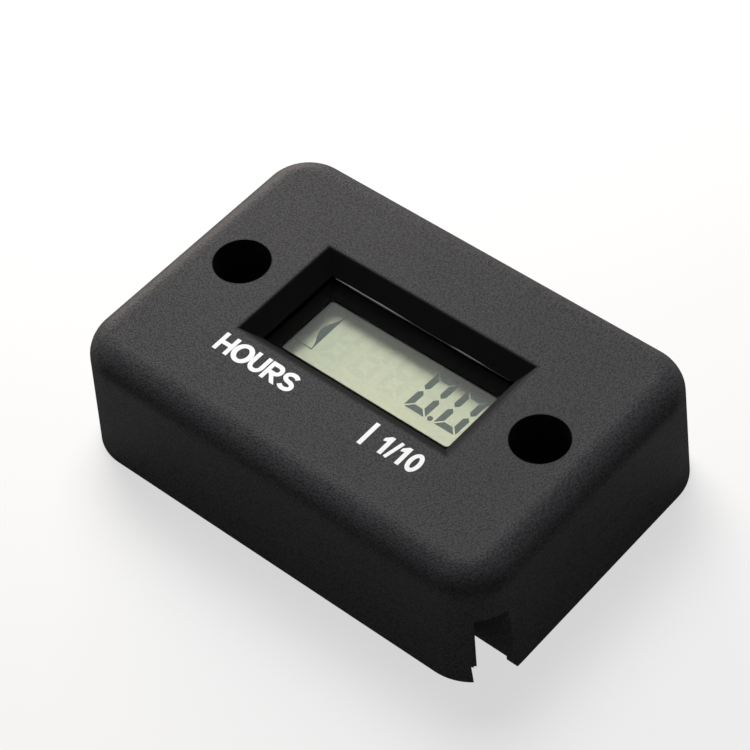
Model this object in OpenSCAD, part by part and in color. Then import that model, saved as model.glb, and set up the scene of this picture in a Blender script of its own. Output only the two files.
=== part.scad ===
// Digital hour meter for an engine: a small moulded case with a sunk display window, two screw holes
// through its face and a notch in one corner for the pickup lead.
// The case stands on the plane z = 0, centred on the origin. The display reads along +X and faces +Z.

/* [Case] */
// Length of the case at its base, along X
case_length = 54; // [52:0.5:70]
// Depth of the case at its base, along Y
case_depth = 37; // [36:0.5:50]
// Height of the case
case_height = 15; // [15:0.5:20]
// Radius of the upright corners at the base, seen from above
corner_radius = 5.9; // [5:0.1:6.5]
// Radius that rolls the walls into the front face
face_roll = 3; // [1.5:0.1:4]
// Slope of the walls in degrees, which lets the moulding leave its mould
draft_angle = 3; // [1:0.1:4]
// Thickness of the side walls
side_wall = 2.15; // [2.1:0.05:3]
// Thickness of the front face
front_wall = 1.95; // [1.5:0.05:2.5]
// Thickness of the lip that stands round the sunk rear cover
rim_lip = 1.3; // [1:0.05:1.5]
// Distance of the window and the screw holes from the middle line, towards the back
face_offset = 0.7; // [0:0.1:1]

/* [Screw holes] */
// Distance between the two screw holes
hole_spacing = 38.4; // [37:0.2:41]
// Diameter of the well that takes the screw head
well_diameter = 6.1; // [5:0.1:7]
// Diameter of the hole for the screw
screw_hole = 3.6; // [3:0.1:4.5]
// Thickness of the floor that the screw head clamps
well_floor = 4.5; // [3:0.5:6]
// Wall of the tube round each well
tube_wall = 1.1; // [0.9:0.1:1.6]

/* [Window] */
// Length of the window at the foot of the case's funnel
window_length = 23.6; // [18:0.2:25]
// Depth of the window at the foot of the case's funnel
window_depth = 10.6; // [8:0.2:12]
// How far the funnel spreads on each side, up to the face
funnel_spread = 1.6; // [0.8:0.1:2.2]
// Radius on the funnel's upper edge
funnel_edge = 0.35; // [0.2:0.05:0.6]
// Radius that the flats in the funnel's upright corners stand for
funnel_corner = 0.7; // [0.2:0.1:1.2]
// Thickness of the clear pane
pane_thickness = 0.8; // [0.6:0.1:1.2]
// Width of the pane's border under the case
pane_border = 1.9; // [1.4:0.1:2.4]
// Thickness of the adhesive frame over the pane
seal_thickness = 0.15; // [0.1:0.05:0.3]

/* [Display] */
// Width of the bezel's slope at the short ends of the window
bezel_end_slope = 0.95; // [0.8:0.05:2]
// Width of the bezel's slope along the long edges of the window
bezel_side_slope = 1.3; // [0.8:0.05:2]
// Thickness of each glass plate
glass_thickness = 0.7; // [0.5:0.1:0.9]
// Thickness of the polariser and of the reflector
film_thickness = 0.2; // [0.1:0.05:0.3]
// Border of the front plate round the part that shows, at its short ends
glass_border = 2.65; // [2:0.05:3.4]
// Width of each row of contacts on the front plate, beside the rear plate
contact_ledge = 1.8; // [1.6:0.1:2.4]
// Border of the rear plate beside the part that shows, along its long edges
rear_border = 1.7; // [1:0.1:2.5]
// Height of the bezel's flange, between the pane and the display
bezel_flange = 1; // [0.8:0.1:1.4]
// Height of the straight lip at the foot of the bezel's opening
bezel_lip = 0.25; // [0.1:0.05:0.4]
// Radius of the corners of the part of the display that shows
bezel_corner = 0.4; // [0.2:0.1:1]
// Thickness of the bezel's walls
bezel_wall = 0.9; // [0.7:0.1:1.1]
// Width of the rubber contact strips
strip_width = 1.4; // [1:0.1:1.6]

/* [Board and cell] */
// Thickness of the circuit board
board_thickness = 1; // [0.8:0.1:1.6]
// Gap between the board's edge and the case wall
board_clearance = 0.4; // [0.2:0.1:0.8]
// Diameter of the coin cell
cell_diameter = 20; // [16:0.5:23]
// Thickness of the coin cell
cell_thickness = 3.2; // [1.6:0.1:3.2]
// Thickness of the welded tabs
tab_thickness = 0.15; // [0.1:0.05:0.2]
// Width of the welded tabs
tab_width = 4; // [3:0.5:6]
// Diameter of the board screws
board_screw = 1.6; // [1.4:0.1:2]

/* [Rear cover] */
// How far the cover sits inside the rim
cover_recess = 0.6; // [0.3:0.1:1]
// Thickness of the cover
cover_thickness = 1.5; // [1.3:0.1:2]
// Thickness of the gasket as it is clamped
gasket_thickness = 0.3; // [0.2:0.05:0.5]
// Diameter of the cover screws
cover_screw = 2; // [1.8:0.1:2.2]

/* [Lead notch] */
// Height of the notch
notch_height = 9.2; // [7:0.1:10]
// Distance from the case's front side to the far side of the notch, at the base
notch_far_side = 5.3; // [5:0.1:6.5]
// Distance from the case's right side to the notch's inner end
notch_length = 7.7; // [7:0.1:8.5]
// Slope of the notch's sides in degrees
notch_draft = 2; // [1:0.1:4]
// Thickness of the walls round the notch
notch_wall = 1.2; // [1:0.1:1.5]
// Bore of the rubber inlet
inlet_bore = 1.5; // [1:0.1:1.6]

/* [Hidden] */
$fn = 64;

// Small overlap that lets a cut pass clean through a surface
cut = 0.5;
// Gap between pieces that slide past each other when the meter is put together
fit_gap = 0.1;
// Gap round a screw in its pilot hole and a rubber piece in its seat
snug_gap = 0.03;

case_half_x = case_length / 2;
case_half_y = case_depth / 2;
inner_half_x = case_half_x - side_wall;
inner_half_y = case_half_y - side_wall;
lip_half_x = case_half_x - rim_lip;
lip_half_y = case_half_y - rim_lip;
// Radius that rolls the inner walls into the ceiling
inner_roll = 0.6;

// Levels from the face down to the underside of the display
face_z = case_height;
ceiling_z = face_z - front_wall;
pane_top_z = ceiling_z - seal_thickness;
bezel_top_z = pane_top_z - pane_thickness;
display_top_z = bezel_top_z - bezel_flange;
front_glass_z = display_top_z - film_thickness;
plates_z = front_glass_z - glass_thickness;
rear_glass_z = plates_z - glass_thickness;
reflector_z = rear_glass_z - film_thickness;

// Levels from the base up to the board, which the contact strips join to the display
cover_low_z = cover_recess;
cover_top_z = cover_low_z + cover_thickness;
ledge_z = cover_top_z + gasket_thickness;
cell_low_z = cover_top_z + tab_thickness + fit_gap;
cell_top_z = cell_low_z + cell_thickness;
// Room between the cell and the board, which the tab on the cell's cap passes through
cell_gap = 0.45;
board_low_z = cell_top_z + cell_gap;
board_top_z = board_low_z + board_thickness;
strip_height = plates_z - board_top_z;

// Plan sizes of the window and display
window_size = [window_length, window_depth];
pane_size = window_size + [2 * pane_border, 2 * pane_border];
seat_wall = 0.7;
seat_size = pane_size + [2 * fit_gap, 2 * fit_gap];
view_size = window_size - [2 * bezel_end_slope, 2 * bezel_side_slope];
rear_plate_depth = view_size.y + 2 * rear_border;
front_plate = [view_size.x + 2 * glass_border, rear_plate_depth + 2 * contact_ledge];
rear_plate = [front_plate.x, rear_plate_depth];
film_border = 1.6;
polariser = view_size + [2 * film_border, 2 * film_border];
reflector_inset = 0.4;
reflector = rear_plate - [2 * reflector_inset, 2 * reflector_inset];
bezel_room = front_plate + [2 * fit_gap, 2 * fit_gap];
bezel_size = bezel_room + [2 * bezel_wall, 2 * bezel_wall];
strip_inset = 1;
strip_length = front_plate.x - 2 * strip_inset;

// Screw tubes through the case
tube_x = hole_spacing / 2;
tube_radius = well_diameter / 2 + tube_wall;
collar_width = 0.75;
collar_height = 2.8;

// Corner posts for the cover screws
post_radius = 2.2;
post_from_wall = 3.35;
post_x = inner_half_x - post_from_wall;
post_y = inner_half_y - post_from_wall;
screw_depth = 6;
web_thickness = 1.2;

// Lead notch and the walls round it
notch_far_y = notch_far_side - case_half_y;
notch_near_y = -inner_half_y;
notch_mouth_y = -lip_half_y + snug_gap;
notch_end_x = case_half_x - notch_length;
notch_wall_x = notch_end_x - notch_wall;
notch_wall_y = notch_far_y + notch_wall;
liner_gap = 0.25;
notch_liner_x = inner_half_x - liner_gap;
shelf_width = 0.85;
shelf_height = 0.8;
// Radius of the notch's upper corner at its far side
notch_round = 0.4;

// Rubber inlet, between the sloping sides of the notch and between its shelf and the board
shelf_top_z = ledge_z + shelf_height;
inlet_z = (shelf_top_z + board_low_z) / 2;
inlet_near_y = notch_near_y + inlet_z * tan(draft_angle);
inlet_far_y = notch_far_y - inlet_z * tan(notch_draft);
inlet_y = (inlet_near_y + inlet_far_y) / 2;
inlet_flange = min(inlet_far_y - inlet_near_y, board_low_z - shelf_top_z) - 2 * snug_gap;
inlet_lip = 0.2;
inlet_hole = inlet_flange - 2 * inlet_lip;
flange_thickness = 0.5;

// The fourth cover post stands beside the notch
notch_post_gap = 0.25;
notch_post_y = notch_wall_y + shelf_width + notch_post_gap + post_radius;
post_spots = [[-post_x, post_y], [post_x, post_y], [-post_x, -post_y], [post_x, notch_post_y]];

// Board outline and its screws
board_half_x = post_x - post_radius - board_clearance;
board_half_y = inner_half_y - board_top_z * tan(draft_angle) - board_clearance;
board_post_radius = board_screw / 2 + 1;
board_screw_x = tube_x - 4.3;
board_screw_y = board_half_y - 3.6;
board_spots = [for (sx = [-1, 1], sy = [-1, 1]) [sx * board_screw_x, sy * board_screw_y]];
board_head_radius = board_screw / 2 + 0.6;
board_screw_reach = 3.5;
cover_head_radius = cover_screw / 2 + 0.75;
cover_head_sink = 0.05;
screw_head_height = 0.9;
// Gap round a screw's shank where it passes through the board or the cover
screw_clearance = 0.2;

// Two rows of small parts on the board, behind and before the display
back_row_y = board_screw_y + 0.6;
front_row_y = 0.5 - board_screw_y;
crystal_y = face_offset - bezel_size.y / 2 - 1.5;

// Coin cell under the board
cell_rim_step = 0.3;
tab_leg_x = cell_diameter / 2 + 0.7;
tab_foot = 2;
tab_lap = 2;

// Pins for the pickup lead
pin_pitch = 2.54;
pin_x = board_screw_x - 3.2;
pin_y = -board_half_y + 1.3;
pin_radius = 0.4;

// Section of a tapered wall, from the line of the corner's centre out to reach, its upper edge rolled over
module wall_section(reach, height, roll) {
    roll_z = height - roll;
    roll_x = reach - roll_z * tan(draft_angle) - roll / cos(draft_angle);
    touch = [roll_x + roll * cos(draft_angle), roll_z + roll * sin(draft_angle)];
    union() {
        polygon([[0, 0], [reach, 0], touch, [roll_x, height], [0, height]]);
        translate([roll_x, roll_z])
            intersection() {
                circle(r = roll);
                square(roll);
            }
    }
}

// Solid with tapered walls, round corners and a rolled upper edge, standing on z = 0
module tapered_block(half_x, half_y, corner, height, roll) {
    corner_x = half_x - corner;
    corner_y = half_y - corner;
    union() {
        translate([-corner_x, -corner_y, 0]) cube([2 * corner_x, 2 * corner_y, height]);
        for (turn = [0, 180])
            rotate([0, 0, turn]) {
                translate([corner_x, 0, 0])
                    rotate([90, 0, 0])
                        linear_extrude(height = 2 * corner_y, center = true)
                            wall_section(corner, height, roll);
                translate([0, corner_y, 0])
                    rotate([90, 0, 90])
                        linear_extrude(height = 2 * corner_x, center = true)
                            wall_section(corner, height, roll);
            }
        for (turn = [0, 1, 2, 3])
            translate([(turn == 0 || turn == 3 ? 1 : -1) * corner_x, (turn < 2 ? 1 : -1) * corner_y, 0])
                rotate([0, 0, 90 * turn])
                    rotate_extrude(angle = 90)
                        wall_section(corner, height, roll);
    }
}

// Flat plate with round corners between two levels
module rounded_plate(half_x, half_y, corner, low, high) {
    translate([0, 0, low])
        union() {
            translate([-half_x, corner - half_y, 0]) cube([2 * half_x, 2 * (half_y - corner), high - low]);
            translate([corner - half_x, -half_y, 0]) cube([2 * (half_x - corner), 2 * half_y, high - low]);
            for (sx = [-1, 1], sy = [-1, 1])
                translate([sx * (half_x - corner), sy * (half_y - corner), 0])
                    cylinder(r = corner, h = high - low);
        }
}

// Hollow inside the case, from the ledge of the cover up to the face
module case_room() {
    taper = ledge_z * tan(draft_angle);
    corner = corner_radius - side_wall - taper;
    translate([0, 0, ledge_z])
        tapered_block(inner_half_x - taper, inner_half_y - taper, corner, ceiling_z - ledge_z, inner_roll);
}

// Rectangular block centred on the window between two levels
module window_block(size, low, high) {
    translate([-size.x / 2, face_offset - size.y / 2, low]) cube([size.x, size.y, high - low]);
}

// Outline of a sloping opening with a rounded upper edge, from half at the low level outwards
function slope_outline(half, spread, low, high, edge) =
    let (
        rise = high - low,
        slant = norm([spread, rise]),
        centre = [half + (edge * slant + (rise - edge) * spread) / rise, high - edge],
        start = 180 - atan2(spread, rise),
        steps = 5,
        turn = (90 - start) / steps
    )
    [for (i = [0:steps]) centre + edge * [cos(start + turn * i), sin(start + turn * i)]];

// Section of a sloping opening, open above the high level and run on for some way below the low one
module opening_section(half, spread, low, high, edge, below) {
    side = slope_outline(half, spread, low, high, edge);
    foot = half - below * spread / (high - low);
    last = len(side) - 1;
    polygon([
        [-foot, low - below], [foot, low - below],
        each side, [side[last].x, high + cut],
        [-side[last].x, high + cut], each [for (i = [last:-1:0]) [-side[i].x, side[i].y]]
    ]);
}

// Rectangular funnel round the window's middle, as wide as size at the low level, with a flat in each
// upright corner
module funnel(size, spread, low, high, edge, corner, below) {
    long = size.x + size.y + 2 * (spread.x + spread.y);
    corner_half = (size.x + size.y) / (2 * sqrt(2)) - corner * (sqrt(2) - 1);
    corner_spread = (spread.x + spread.y) / sqrt(2);
    translate([0, face_offset, 0])
        intersection() {
            rotate([90, 0, 0])
                linear_extrude(height = long, center = true)
                    opening_section(size.x / 2, spread.x, low, high, edge, below);
            rotate([90, 0, 90])
                linear_extrude(height = long, center = true)
                    opening_section(size.y / 2, spread.y, low, high, edge, below);
            for (turn = [45, 135])
                rotate([90, 0, turn])
                    linear_extrude(height = long, center = true)
                        opening_section(corner_half, corner_spread, low, high, edge, below);
        }
}

// Outline cut along X from one place out through the right wall
module cut_to_right(from_x) {
    translate([from_x, 0, 0])
        rotate([90, 0, 90])
            linear_extrude(height = case_half_x + cut - from_x)
                children();
}

// Section of the notch for the lead, with its upper corner rounded at the far side
module notch_section(near_y, near_top_y) {
    round_z = notch_height - notch_round;
    round_y = notch_far_y - round_z * tan(notch_draft) - notch_round / cos(notch_draft);
    steps = 4;
    turns = [for (i = [0:steps]) notch_draft + (90 - notch_draft) * i / steps];
    polygon([
        [near_y, -cut], [notch_far_y + cut * tan(notch_draft), -cut],
        for (turn = turns) [round_y + notch_round * cos(turn), round_z + notch_round * sin(turn)],
        [near_top_y, notch_height]
    ]);
}

// Hollow of the notch. It is as wide as the room between the inner walls, and reaches out to the lip at its
// mouth and under the front wall's inner layer, whose foot slopes down from the ledge.
module notch_hollow() {
    mouth_slope = notch_height * tan(draft_angle);
    foot_reach = notch_near_y + cut - notch_mouth_y;
    cut_to_right(notch_end_x) notch_section(notch_near_y, notch_near_y);
    cut_to_right(notch_liner_x) notch_section(notch_mouth_y, notch_mouth_y + mouth_slope);
    cut_to_right(notch_end_x)
        polygon([
            [notch_mouth_y, -cut], [notch_mouth_y + foot_reach, -cut],
            [notch_mouth_y + foot_reach, ledge_z - foot_reach], [notch_mouth_y, ledge_z]
        ]);
}

// Walls that close the notch off from the inside of the case
module notch_box() {
    roof_z = notch_height + notch_wall;
    reach = side_wall + 1;
    intersection() {
        tapered_block(case_half_x, case_half_y, corner_radius, case_height, face_roll);
        union() {
            translate([notch_wall_x, -inner_half_y - reach, ledge_z])
                cube([case_half_x - notch_wall_x, notch_wall_y + inner_half_y + reach, roof_z - ledge_z]);
            translate([notch_wall_x - shelf_width, -inner_half_y - reach, ledge_z])
                cube([case_half_x, notch_wall_y + shelf_width + inner_half_y + reach, shelf_height]);
            translate([notch_wall_x, notch_near_y, cover_low_z])
                cube([
                    lip_half_x + cut - notch_wall_x,
                    notch_wall_y - notch_near_y,
                    ledge_z + cut - cover_low_z
                ]);
        }
    }
}

// Tube round a screw well, with the collar that its ring seal lies against
module screw_tube() {
    cylinder(r = tube_radius, h = ceiling_z + cut);
    translate([0, 0, ledge_z]) cylinder(r = tube_radius + collar_width, h = collar_height);
}

// Post for a cover screw, tied to the side wall by a web
module cover_post(spot) {
    translate([spot.x, spot.y, ledge_z]) cylinder(r = post_radius, h = ceiling_z + cut - ledge_z);
    web_length = case_half_x - side_wall / 2 - post_x - case_height * tan(draft_angle);
    web_top_z = ceiling_z - 2 * inner_roll;
    translate([spot.x > 0 ? spot.x : spot.x - web_length, spot.y - web_thickness / 2, ledge_z])
        cube([web_length, web_thickness, web_top_z - ledge_z]);
}

// Posts and wall stops that the board is screwed up against
module board_posts() {
    stop_reach = 1.2;
    for (spot = board_spots)
        translate([spot.x, spot.y, board_top_z])
            cylinder(r = board_post_radius, h = ceiling_z + cut - board_top_z);
    stop_depth = inner_half_y + cut - board_half_y + stop_reach;
    for (sx = [-1, 1], sy = [-1, 1])
        translate([sx * board_screw_x / 2, sy * (inner_half_y + cut - stop_depth / 2), board_top_z])
            translate([-web_thickness / 2, -stop_depth / 2, 0])
                cube([web_thickness, stop_depth, ceiling_z + cut - board_top_z]);
}

// Low wall under the face that the pane is pressed into
module pane_seat() {
    difference() {
        window_block(seat_size + [2 * seat_wall, 2 * seat_wall], bezel_top_z, ceiling_z + cut);
        window_block(seat_size, bezel_top_z - cut, ceiling_z + 2 * cut);
    }
}

// The moulded case with everything that is one piece with it
module case_shell() {
    color("#2b2c2e")
        difference() {
            union() {
                difference() {
                    tapered_block(case_half_x, case_half_y, corner_radius, case_height, face_roll);
                    translate([0, 0, -cut])
                        rounded_plate(lip_half_x, lip_half_y, corner_radius - rim_lip, 0, ledge_z + cut);
                    case_room();
                }
                for (sx = [-1, 1])
                    translate([sx * tube_x, face_offset, 0]) screw_tube();
                for (spot = post_spots)
                    cover_post(spot);
                board_posts();
                pane_seat();
                notch_box();
            }
            funnel(
                window_size, [funnel_spread, funnel_spread], ceiling_z, face_z,
                funnel_edge, funnel_corner, cut
            );
            for (sx = [-1, 1])
                translate([sx * tube_x, face_offset, 0]) {
                    translate([0, 0, -cut]) cylinder(d = screw_hole, h = case_height);
                    translate([0, 0, well_floor]) cylinder(d = well_diameter, h = case_height);
                }
            for (spot = post_spots)
                translate([spot.x, spot.y, ledge_z - cut])
                    cylinder(r = cover_screw / 2 + snug_gap, h = screw_depth + cut);
            for (spot = board_spots)
                translate([spot.x, spot.y, board_top_z - cut])
                    cylinder(r = board_screw / 2 + snug_gap, h = board_screw_reach + 2 * cut);
            notch_hollow();
            translate([notch_wall_x - cut, inlet_y, inlet_z])
                rotate([0, 90, 0])
                    cylinder(d = inlet_hole, h = notch_wall + 2 * cut);
        }
}

// Adhesive frame between the case and the pane
module window_seal() {
    set_back = 0.3;
    color("#3a3a3a")
        difference() {
            window_block(pane_size, pane_top_z, ceiling_z);
            window_block(window_size + [2 * set_back, 2 * set_back], pane_top_z - cut, ceiling_z + cut);
        }
}

// Flat clear pane
module clear_window() {
    color("#dfe6e4", 0.3)
        window_block(pane_size, bezel_top_z, pane_top_z);
}

// Frame that holds the display under the pane and stands on the board. Its opening is straight at the
// display and slopes above, and it is cut back where a screw tube is near.
module display_bezel() {
    lead_in = 0.15;
    edge_radius = 0.1;
    lip_top_z = display_top_z + bezel_lip;
    spread = [bezel_end_slope + lead_in, bezel_side_slope + lead_in];
    color("#141416")
        difference() {
            window_block(bezel_size, board_top_z, bezel_top_z);
            window_block(bezel_room, board_top_z - cut, display_top_z);
            translate([0, face_offset, 0])
                rounded_plate(
                    view_size.x / 2, view_size.y / 2, bezel_corner,
                    display_top_z - cut, lip_top_z + fit_gap
                );
            funnel(view_size, spread, lip_top_z, bezel_top_z, edge_radius, bezel_corner, 0);
            for (sx = [-1, 1])
                translate([sx * tube_x, face_offset, board_top_z - cut])
                    cylinder(r = tube_radius + fit_gap, h = bezel_top_z - board_top_z + 2 * cut);
        }
}

// Film on the display's front
module front_polariser() {
    color("#c4cdb2", 0.6)
        window_block(polariser, front_glass_z, display_top_z);
}

// Front plate, wider than the rear plate by its two rows of contacts
module display_front_glass() {
    color("#cfd6cc", 0.5)
        window_block(front_plate, plates_z, front_glass_z);
}

// Rear plate
module display_rear_glass() {
    color("#c6cec2", 0.5)
        window_block(rear_plate, rear_glass_z, plates_z);
}

// Polariser with a silver back behind the display
module rear_reflector() {
    color("#b9c2a8")
        window_block(reflector, reflector_z, rear_glass_z);
}

// Rubber strip that joins one row of contacts to the board
module contact_strip(side) {
    strip_y = face_offset + side * (rear_plate.y / 2 + contact_ledge / 2);
    color("#c9a9a0")
        translate([-strip_length / 2, strip_y - strip_width / 2, board_top_z])
            cube([strip_length, strip_width, strip_height]);
}

// Board with notches round the screw tubes and a corner cut away for the lead notch
module circuit_board() {
    notch_radius = tube_radius + board_clearance;
    color("#1f6b3a")
        difference() {
            translate([-board_half_x, -board_half_y, board_low_z])
                cube([2 * board_half_x, 2 * board_half_y, board_thickness]);
            for (sx = [-1, 1])
                translate([sx * tube_x, face_offset, board_low_z - cut])
                    cylinder(r = notch_radius, h = board_thickness + 2 * cut);
            translate([notch_wall_x - board_clearance, -case_half_y, board_low_z - cut])
                cube([case_half_x, notch_wall_y + board_clearance + case_half_y, board_thickness + 2 * cut]);
            for (spot = board_spots)
                translate([spot.x, spot.y, board_low_z - cut])
                    cylinder(r = board_screw / 2 + screw_clearance, h = board_thickness + 2 * cut);
            for (i = [0, 1])
                translate([pin_x - i * pin_pitch, pin_y, board_low_z - cut])
                    cylinder(r = pin_radius + fit_gap, h = board_thickness + 2 * cut);
        }
}

// Drop of resin over the bonded controller chip
module controller_resin() {
    drop_x = -1.5;
    drop_radius = 4;
    drop_height = 1.6;
    ball_radius = (drop_radius * drop_radius + drop_height * drop_height) / (2 * drop_height);
    color("#101010")
        translate([drop_x, face_offset, board_top_z])
            intersection() {
                translate([0, 0, drop_height - ball_radius]) sphere(r = ball_radius);
                cylinder(r = drop_radius + 1, h = drop_height + 1);
            }
}

// Tuning fork crystal lying on the board along the bezel, with its two bent leads
module timing_crystal() {
    can_radius = 0.95;
    can_length = 5.5;
    can_start_x = -6.5;
    lift = 0.1;
    lead_side = 0.3;
    lead_reach = 1;
    lead_spread = 0.45;
    color("#b8bcc0")
        translate([can_start_x, crystal_y, board_top_z])
            union() {
                translate([0, 0, can_radius + lift])
                    rotate([0, 90, 0])
                        cylinder(r = can_radius, h = can_length);
                for (side = [-1, 1])
                    translate([-lead_reach, side * lead_spread - lead_side / 2, 0]) {
                        cube([lead_side, lead_side, can_radius + lift]);
                        translate([0, 0, can_radius + lift - lead_side])
                            cube([lead_reach + lift, lead_side, lead_side]);
                    }
            }
}

// Row of blocks of one size standing on the board, spaced along X
module chip_row(count, pitch, size, start_x, row_y) {
    for (i = [0:count - 1])
        translate([start_x + i * pitch - size.x / 2, row_y - size.y / 2, board_top_z])
            cube(size);
}

module ceramic_capacitors() {
    color("#b08d5b")
        chip_row(4, 3.2, [1.25, 2, 1.2], -11.2, back_row_y);
}

// Aluminium can capacitor on its square base
module storage_capacitor() {
    can_x = 8;
    can_radius = 2;
    can_height = 4.4;
    base_side = 4.3;
    base_height = 0.7;
    color("#c7cace")
        translate([can_x, board_screw_y, board_top_z])
            union() {
                translate([-base_side / 2, -base_side / 2, 0]) cube([base_side, base_side, base_height]);
                translate([0, 0, base_height]) cylinder(r = can_radius, h = can_height);
            }
}

module chip_resistors() {
    color("#22262b")
        chip_row(5, 2.6, [0.85, 1.6, 0.5], -11.4, front_row_y);
}

module input_diodes() {
    color("#1b1b1d")
        chip_row(2, 2.8, [1.6, 2.7, 1.1], 3.4, front_row_y);
}

// Two pins through the board for the pickup lead
module pickup_terminal() {
    pin_below = 1.4;
    head_height = 0.4;
    head_rim = 0.4;
    color("#c9a24a")
        for (i = [0, 1])
            translate([pin_x - i * pin_pitch, pin_y, board_low_z - pin_below]) {
                cylinder(r = pin_radius, h = pin_below + board_thickness + head_height);
                translate([0, 0, pin_below + board_thickness])
                    cylinder(r = pin_radius + head_rim, h = head_height);
            }
}

// Lithium cell with its smaller cap towards the board
module coin_cell() {
    cap_step = 1.5;
    color("#c8ccd0")
        translate([0, 0, cell_low_z])
            union() {
                cylinder(d = cell_diameter, h = cell_thickness - cell_rim_step);
                cylinder(d = cell_diameter - 2 * cap_step, h = cell_thickness);
            }
}

// Strip from the cell's cap up to the board
module cell_tab_negative() {
    foot_x = tab_leg_x + tab_foot;
    color("#d2d4d6")
        translate([0, face_offset, 0])
            rotate([90, 0, 0])
                linear_extrude(height = tab_width, center = true)
                    polygon([
                        [-tab_lap, cell_top_z], [tab_leg_x, cell_top_z],
                        [tab_leg_x, board_low_z - tab_thickness], [foot_x, board_low_z - tab_thickness],
                        [foot_x, board_low_z], [tab_leg_x - tab_thickness, board_low_z],
                        [tab_leg_x - tab_thickness, cell_top_z + tab_thickness],
                        [-tab_lap, cell_top_z + tab_thickness]
                    ]);
}

// Strip from the cell's base, up past its side to the board
module cell_tab_positive() {
    leg_x = tab_leg_x + tab_thickness;
    foot_x = tab_leg_x + tab_foot;
    color("#d2d4d6")
        translate([0, face_offset, 0])
            rotate([90, 0, 0])
                linear_extrude(height = tab_width, center = true)
                    polygon([
                        [tab_lap, cell_low_z - tab_thickness], [-leg_x, cell_low_z - tab_thickness],
                        [-leg_x, board_low_z - tab_thickness], [-foot_x, board_low_z - tab_thickness],
                        [-foot_x, board_low_z], [-tab_leg_x, board_low_z],
                        [-tab_leg_x, cell_low_z], [tab_lap, cell_low_z]
                    ]);
}

// Screw with a low head and a cross slot, its head's underside at z = 0 and its shank upwards
module small_screw(shank, reach, head_radius) {
    slot = 0.4;
    slot_depth = 0.4;
    slot_length = 1.2 * head_radius;
    difference() {
        union() {
            translate([0, 0, -screw_head_height]) cylinder(r = head_radius, h = screw_head_height);
            cylinder(d = shank, h = reach);
        }
        for (turn = [0, 90])
            rotate([0, 0, turn])
                translate([-slot_length / 2, -slot / 2, -screw_head_height - cut])
                    cube([slot_length, slot, slot_depth + cut]);
    }
}

module board_screws() {
    color("#b4b8bc")
        for (spot = board_spots)
            translate([spot.x, spot.y, board_low_z])
                small_screw(board_screw, board_thickness + board_screw_reach, board_head_radius);
}

// Rubber inlet that grips both faces of the notch's end wall
module cable_grommet() {
    reach = notch_wall + 2 * flange_thickness;
    color("#1a1a1a")
        translate([notch_wall_x - flange_thickness, inlet_y, inlet_z])
            rotate([0, 90, 0])
                difference() {
                    union() {
                        cylinder(r = inlet_hole / 2 - snug_gap, h = reach);
                        for (level = [0, reach - flange_thickness])
                            translate([0, 0, level]) cylinder(d = inlet_flange, h = flange_thickness);
                    }
                    translate([0, 0, -cut]) cylinder(d = inlet_bore, h = reach + 2 * cut);
                }
}

// Outline of the cover or the gasket, less the corner that the lead notch takes
module cover_outline(inset, corner_inset, low, high) {
    difference() {
        rounded_plate(lip_half_x - inset, lip_half_y - inset, corner_radius - rim_lip - inset, low, high);
        translate([notch_wall_x - corner_inset, -case_half_y, low - cut])
            cube([case_half_x, notch_wall_y + corner_inset + case_half_y, high - low + 2 * cut]);
    }
}

// Gasket round the edge of the cover
module cover_seal() {
    seal_width = side_wall - rim_lip - 2 * fit_gap;
    color("#303030")
        difference() {
            cover_outline(fit_gap, fit_gap, cover_top_z, ledge_z);
            cover_outline(fit_gap + seal_width, fit_gap + seal_width, cover_top_z - cut, ledge_z + cut);
        }
}

// Ring seals round the two screw tubes
module tube_seals() {
    color("#303030")
        for (sx = [-1, 1])
            translate([sx * tube_x, face_offset, cover_top_z])
                difference() {
                    cylinder(r = tube_radius + collar_width - fit_gap, h = gasket_thickness);
                    translate([0, 0, -cut])
                        cylinder(r = tube_radius + fit_gap, h = gasket_thickness + 2 * cut);
                }
}

// Sunk rear cover with the ring that keeps the cell in place
module back_cover() {
    ring_play = 0.35;
    ring_radius = cell_diameter / 2 + ring_play;
    ring_wall = 0.9;
    ring_grip = 0.95;
    ring_height = cell_low_z + ring_grip - cover_top_z;
    tab_gap = 0.4;
    head_play = 0.15;
    head_well = screw_head_height + cover_head_sink;
    color("#242527")
        difference() {
            union() {
                cover_outline(fit_gap, fit_gap, cover_low_z, cover_top_z);
                difference() {
                    translate([0, 0, cover_top_z - cut])
                        cylinder(r = ring_radius + ring_wall, h = ring_height + cut);
                    translate([0, 0, cover_top_z]) cylinder(r = ring_radius, h = ring_height + cut);
                    translate([-case_half_x, face_offset - tab_width / 2 - tab_gap, cover_top_z])
                        cube([case_length, tab_width + 2 * tab_gap, ring_height + cut]);
                }
            }
            for (sx = [-1, 1])
                translate([sx * tube_x, face_offset, cover_low_z - cut])
                    cylinder(r = tube_radius + fit_gap, h = cover_thickness + 2 * cut);
            for (spot = post_spots)
                translate([spot.x, spot.y, cover_low_z - cut]) {
                    cylinder(r = cover_screw / 2 + screw_clearance, h = cover_thickness + 2 * cut);
                    cylinder(r = cover_head_radius + head_play, h = head_well + cut);
                }
        }
}

module cover_screws() {
    seat_z = cover_low_z + screw_head_height + cover_head_sink;
    color("#9da1a6")
        for (spot = post_spots)
            translate([spot.x, spot.y, seat_z])
                small_screw(cover_screw, ledge_z - seat_z + screw_depth - cut, cover_head_radius);
}

case_shell();
window_seal();
clear_window();
display_bezel();
front_polariser();
display_front_glass();
display_rear_glass();
rear_reflector();
contact_strip(1);  // contact_strip_back
contact_strip(-1);  // contact_strip_front
circuit_board();
controller_resin();
timing_crystal();
ceramic_capacitors();
storage_capacitor();
chip_resistors();
input_diodes();
pickup_terminal();
coin_cell();
cell_tab_negative();
cell_tab_positive();
board_screws();
cable_grommet();
cover_seal();
tube_seals();
back_cover();
cover_screws();
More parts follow.
